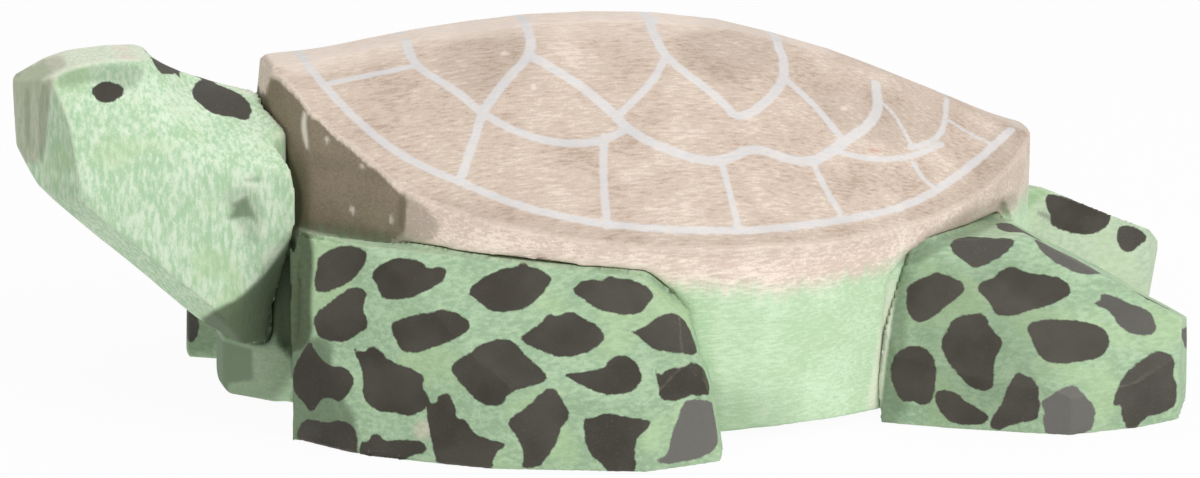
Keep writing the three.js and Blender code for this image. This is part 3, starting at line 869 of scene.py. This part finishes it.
class WoodMaterial:
    """A wood whose grain, pores and blotches show through any stain; stretch turns even noise into fibres."""

    def __init__(self, name, stretch):
        self.material = bpy.data.materials.new(name)
        self.start = empty_graph(self.material)
        place = self.start.node("ShaderNodeTexCoord", output="Object")
        self.place = self.stretched(place, (1 / MM, 1 / MM, 1 / MM))
        self.fibre_place = self.stretched(self.place, stretch)

    def stretched(self, place, factors):
        return self.start.node("ShaderNodeVectorMath", {"operation": "MULTIPLY"}, {0: place, 1: factors})

    def noise(self, scale, detail=3, roughness=0.5, place=None):
        """Noise from 0 to 1 whose features are about 1 / scale millimetres."""
        return self.start.node(
            "ShaderNodeTexNoise",
            None,
            {"Vector": place or self.place, "Scale": scale, "Detail": detail, "Roughness": roughness},
        )

    def stored(self, name):
        return self.start.node("ShaderNodeAttribute", {"attribute_name": name}, output="Fac")

    def finish(self, base, roughness, relief, depth):
        """Join a colour and a relief of some depth in millimetres into the finished material."""
        relief_inputs = {"Strength": 1.0, "Distance": depth * MM, "Height": relief}
        bump = self.start.node("ShaderNodeBump", None, relief_inputs, output="Normal")
        shader = self.start.node(
            "ShaderNodeBsdfPrincipled",
            None,
            {"Base Color": base, "Roughness": roughness, "Normal": bump, "Specular IOR Level": MATT_SHINE},
        )
        shader.show("ShaderNodeOutputMaterial")
        return self.material


# %% [markdown]
# Shade is painted into the green where the shade patches lie, and light on the faces that look up.
# The green is a water-thin stain, so the wood shows through it: pale and dark fibres, small pores,
# and patches that took more or less colour. The spots are thicker and nearly black, and some are so
# dry that the grain breaks them into grey. Along the knife edges the stain has been rubbed off.
# The noises lie mostly between 0.3 and 0.7. A step turns one into a mask, from where the mask starts
# to where it is full, and a factor after it says how strong the mask is at most.

# %% Green stain with brown spots
YELLOWED_GREEN = colour(178, 204, 154)
GREEN_PORE = colour(212, 226, 196)
GREEN_EDGE = colour(214, 222, 196)
# Painted light: the paler greens of the faces that look up.
PAINTED_TOP_LIGHT = (colour(206, 216, 192), colour(230, 230, 214))
GREEN_BARE = colour(222, 196, 184)
# Painted shade, and the darker stain of a knot and a few marks.
GREEN_PAINTED_SHADE_AND_STAIN = colour(68, 80, 56)
# Chipped and rubbed wood, and painted light on the far rear flipper.
GREEN_CHIP_AND_PAINTED_LIGHT = colour(226, 230, 212)
SPOT_BROWN = (colour(58, 54, 46), colour(74, 71, 63))
SPOT_FADED = colour(112, 110, 106)
SPOT_DRY = colour(104, 101, 94)
SPOT_EDGE = colour(128, 122, 110)


def green_stain(name, deep, pale, top, edge_wear, stretch):
    """The green of a limb. Top is how much light is painted on its upward faces, and edge wear how rubbed its
    edges are.
    """
    wood = WoodMaterial(name, stretch)
    fibre = wood.noise(2.4, detail=5, roughness=0.6, place=wood.fibre_place)
    fleck = wood.noise(5.5, roughness=0.6)
    blotch = wood.noise(0.3)
    tint = wood.noise(0.16)
    edge = wood.stored("worn") + (fleck - 0.5) * 0.03

    tone = fibre * 0.6 + fleck * 0.15 + blotch * 0.25
    stain = tone.step(0.41, 0.6).blend(deep, pale)
    stain = (tint.step(0.5, 0.66) * 0.4).blend(stain, YELLOWED_GREEN)
    stain = (fleck.step(0.64, 0.78) * 0.35).blend(stain, GREEN_PORE)
    stain = (edge.step(0.03, 0.09) * edge_wear).blend(stain, GREEN_EDGE)
    # Painted light: the faces that look up are made lighter.
    stain = (wood.stored("upward") * top).blend(stain, fibre.step(0.4, 0.6).blend(*PAINTED_TOP_LIGHT))
    stain = wood.stored("bare").blend(stain, GREEN_BARE)
    # Painted shade where the shade patches lie, with a few darker stain marks.
    stain = (wood.stored("shade") * (fibre * 0.3 + 0.85)).blend(stain, GREEN_PAINTED_SHADE_AND_STAIN)
    # Pale chips and rubbed spots, and painted light on the far rear flipper.
    stain = (wood.stored("pale") * (fibre * 0.4 + 0.8)).blend(stain, GREEN_CHIP_AND_PAINTED_LIGHT)

    faded = wood.stored("faded")
    dry = (fleck + faded * 0.16 + (fibre - 0.5) * 0.3).step(0.62, 0.8)
    spot = tint.step(0.35, 0.7).blend(*SPOT_BROWN)
    spot = (faded.step(0.2, 1) * 0.85).blend(spot, SPOT_FADED)
    spot = (dry * 0.45).blend(spot, SPOT_DRY)
    spot = (edge.step(0.03, 0.08) * 0.3).blend(spot, SPOT_EDGE)

    wobble = (wood.noise(1.3, detail=4, roughness=0.6) - 0.5) * 0.45
    paint = (wood.stored("spots") + wobble + (fibre - 0.5) * 0.12).step(0.1, -0.1)
    relief = fibre * 0.6 + fleck * 0.4 + paint * 0.12
    return wood.finish(paint.blend(stain, spot), roughness=0.62, relief=relief, depth=0.09)


flipper_green = green_stain(
    "flipper_green", deep=colour(147, 174, 141), pale=colour(172, 197, 163),
    top=0.15, edge_wear=0.2, stretch=(0.45, 1, 1),
)
head_green = green_stain(
    "head_green", deep=colour(170, 202, 164), pale=colour(212, 228, 203),
    top=0.8, edge_wear=0.4, stretch=(1, 1, 0.3),
)

# %% [markdown]
# The shell's stain is a thin warm grey-brown that sank unevenly into the fibres. The white lines are
# painted over it with body colour that is a little blue and not quite opaque. Below the rim the brown
# thins out to nearly bare wood, and then the green of the belly begins, drawn up and down along the
# brush in short streaks.
# The facets that face forward are painted darker, as shade and stain, the faces that look up lighter, as
# painted light, and shade is painted where the shade patches lie.

# %% Shell stain, white lines and the green belly
DOME_BROWN = (colour(180, 159, 142), colour(203, 185, 170))
DOME_FIBRE = colour(224, 209, 194)
DOME_PORE = colour(238, 226, 206)
WALL_BROWN = (colour(216, 196, 182), colour(246, 231, 216))
# Painted shade and darker stain on the facets that face forward.
FRONT_SHADE_AND_STAIN_BROWN = (colour(136, 123, 104), colour(152, 138, 118))
# Painted light on the faces that look up.
RIDGE_PAINTED_LIGHT = colour(234, 220, 208)
BROWN_EDGE = colour(230, 214, 198)
# Painted shade, with a little darker stain, on the brown and on the green.
BROWN_PAINTED_SHADE_AND_STAIN = colour(84, 78, 60)
BELLY_GREEN = (colour(184, 213, 174), colour(210, 231, 200))
FRONT_SHADE_AND_STAIN_GREEN = colour(150, 172, 142)
BELLY_PAINTED_SHADE_AND_STAIN = colour(62, 75, 50)
SHELL_BARE = colour(196, 148, 128)
SHELL_CHIP = colour(240, 230, 218)
LINE_WHITE = (colour(205, 204, 205), colour(222, 220, 219))
DOWEL_WOOD = (colour(206, 182, 142), colour(224, 204, 166))


def shell_stain():
    wood = WoodMaterial("shell_stain", stretch=(0.2, 1, 1))
    fibre = wood.noise(3.8, detail=4, roughness=0.6, place=wood.fibre_place)
    fleck = wood.noise(4.5, roughness=0.6)
    edge = wood.stored("worn") + (fleck - 0.5) * 0.03
    wall = wood.stored("wall") + (fibre - 0.5) * 0.5
    front = wood.stored("front")
    shade = wood.stored("shade")

    tone = fibre * 0.6 + fleck * 0.2 + wood.noise(0.2) * 0.4
    brown = tone.step(0.45, 0.6).blend(*DOME_BROWN)
    brown = tone.step(0.6, 0.76).blend(brown, DOME_FIBRE)
    brown = (fleck.step(0.66, 0.8) * 0.4).blend(brown, DOME_PORE)
    brown = wall.step(0.35, 0.65).blend(brown, tone.step(0.5, 0.72).blend(*WALL_BROWN))
    # The facets that face forward are painted darker, as shade and stain.
    brown = front.blend(brown, tone.step(0.48, 0.72).blend(*FRONT_SHADE_AND_STAIN_BROWN))
    # Painted light: the faces that look up, the ridge among them, are made lighter.
    brown = (wood.stored("upward") * (fibre * 0.6 + 0.4)).blend(brown, RIDGE_PAINTED_LIGHT)
    brown = (edge.step(0.03, 0.09) * 0.5).blend(brown, BROWN_EDGE)
    # Painted shade where the shade patches lie, with a little darker stain.
    brown = (shade * (fibre * 0.4 + 0.8)).blend(brown, BROWN_PAINTED_SHADE_AND_STAIN)

    green = tone.step(0.48, 0.74).blend(*BELLY_GREEN)
    # The green facets that face forward are painted darker too, as shade and stain.
    green = front.blend(green, FRONT_SHADE_AND_STAIN_GREEN)
    # Painted shade on the green: behind the head, on the neck and breast, low on the belly.
    green = shade.blend(green, BELLY_PAINTED_SHADE_AND_STAIN)
    streak = wood.noise(1.1, detail=4, place=wood.stretched(wood.place, (1, 1, 0.25)))
    bleed = wood.stored("above_green") + (streak - 0.5) * 3 + (fibre - 0.5) * 0.7
    stain = bleed.step(-1.5, 1.5).blend(green, brown)
    stain = wood.stored("bare").blend(stain, SHELL_BARE)
    stain = wood.stored("pale").blend(stain, SHELL_CHIP)

    brush = wood.stored("lines") + (wood.noise(1.1) - 0.5) * 0.32 + (fleck - 0.5) * 0.34 + 0.03
    line = brush.step(0.13, -0.17) * (1 - fibre.step(0.45, 0.65) * 0.4)
    base = (line * 0.93).blend(stain, tone.step(0.45, 0.75).blend(*LINE_WHITE))
    relief = fibre * 0.55 + fleck * 0.45 + line * 0.15
    return wood.finish(base, roughness=0.66, relief=relief, depth=0.1)


def bare_dowel():
    wood = WoodMaterial("bare_dowel", stretch=(1, 0.13, 1))
    fibre = wood.noise(2.5, detail=4, place=wood.fibre_place)
    return wood.finish(fibre.step(0.35, 0.7).blend(*DOWEL_WOOD), roughness=0.6, relief=fibre, depth=0.05)


def coat(piece, material):
    piece.data.materials.clear()
    piece.data.materials.append(material)


coat(shell, shell_stain())
for name, limb in limbs.items():
    coat(limb, head_green if name == "head" else flipper_green)
dowel_material = bare_dowel()
for name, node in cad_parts.items():
    if "dowel" in name:
        for slot in node.material_slots:
            slot.material = dowel_material
print("materials:", [material.name for material in bpy.data.materials if material.use_nodes])

# %% [markdown]
# Every finished block takes the place of its solid, and nothing on this turtle moves.

# %% Put the blocks in place of the solids
for name, block in blocks.items():
    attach(block, "root")
    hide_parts(name)

# %% [markdown]
# The light in the photograph is soft. It comes from above and from the side that is seen, a little
# from behind, so the facets that face the turtle's way of going are the dark ones. A large lamp
# stands there, a second one hangs overhead, and an even white sky fills the rest. The floor is plain
# white paper that glows a little, so that it stays as pale as in the photograph.

# %% Floor and light
def seen_or_mirrored(start):
    """1 for what is looked at straight or in a shiny surface, and 0 for the light that it gives."""
    rays = ["Is Camera Ray", "Is Glossy Ray", "Is Transmission Ray"]
    camera_ray, glossy_ray, transmission_ray = [start.node("ShaderNodeLightPath", output=ray) for ray in rays]
    return start.maths("MINIMUM", camera_ray + glossy_ray + transmission_ray, 1)


# The share of its own light in the white floor, for what it lights and for what looks at it.
FLOOR_GLOW = 0.47
FLOOR_GLOW_SEEN = 0.94
bpy.ops.mesh.primitive_plane_add(size=6, location=(0, 0, 0))
floor = bpy.context.object
floor.name = "floor"
floor_material = bpy.data.materials.new("floor_white")
sheet = empty_graph(floor_material)
lit = sheet.node("ShaderNodeBsdfDiffuse", None, {"Color": (0.8, 0.8, 0.8, 1)})
bright = sheet.node("ShaderNodeEmission", None, {"Color": (1, 1, 1, 1), "Strength": 1.0})
glow = seen_or_mirrored(sheet) * (FLOOR_GLOW_SEEN - FLOOR_GLOW) + FLOOR_GLOW
floor_look = sheet.node("ShaderNodeMixShader", None, {0: glow, 1: lit, 2: bright})
floor_look.show("ShaderNodeOutputMaterial")
coat(floor, floor_material)


def softbox(name, heading, height, size, distance, power):
    """A square lamp that faces the turtle; heading is counted from the way the turtle faces."""
    way = Vector((cos(height) * cos(heading), cos(height) * sin(heading), sin(height)))
    turn = (-way).to_track_quat("-Z", "Y").to_euler()
    bpy.ops.object.light_add(type="AREA", location=aim + way * distance, rotation=turn)
    lamp = bpy.context.object
    lamp.name = name
    lamp.data.size = size
    lamp.data.energy = power


softbox("key", heading=radians(115), height=radians(33), size=0.5, distance=0.9, power=3.7)
softbox("overhead", heading=radians(100), height=radians(82), size=0.5, distance=0.9, power=1.3)

# The strength of the sky as a light. It is 1 where it is seen.
SKY_LEVEL = 0.63
world = bpy.data.worlds.new("sky")
bpy.context.scene.world = world
sky = empty_graph(world)
sky_strength = seen_or_mirrored(sky) * (1 - SKY_LEVEL) + SKY_LEVEL
background = sky.node("ShaderNodeBackground", None, {"Color": (1, 1, 1, 1), "Strength": sky_strength})
background.show("ShaderNodeOutputWorld")

bpy.context.scene.view_settings.view_transform = "Standard"
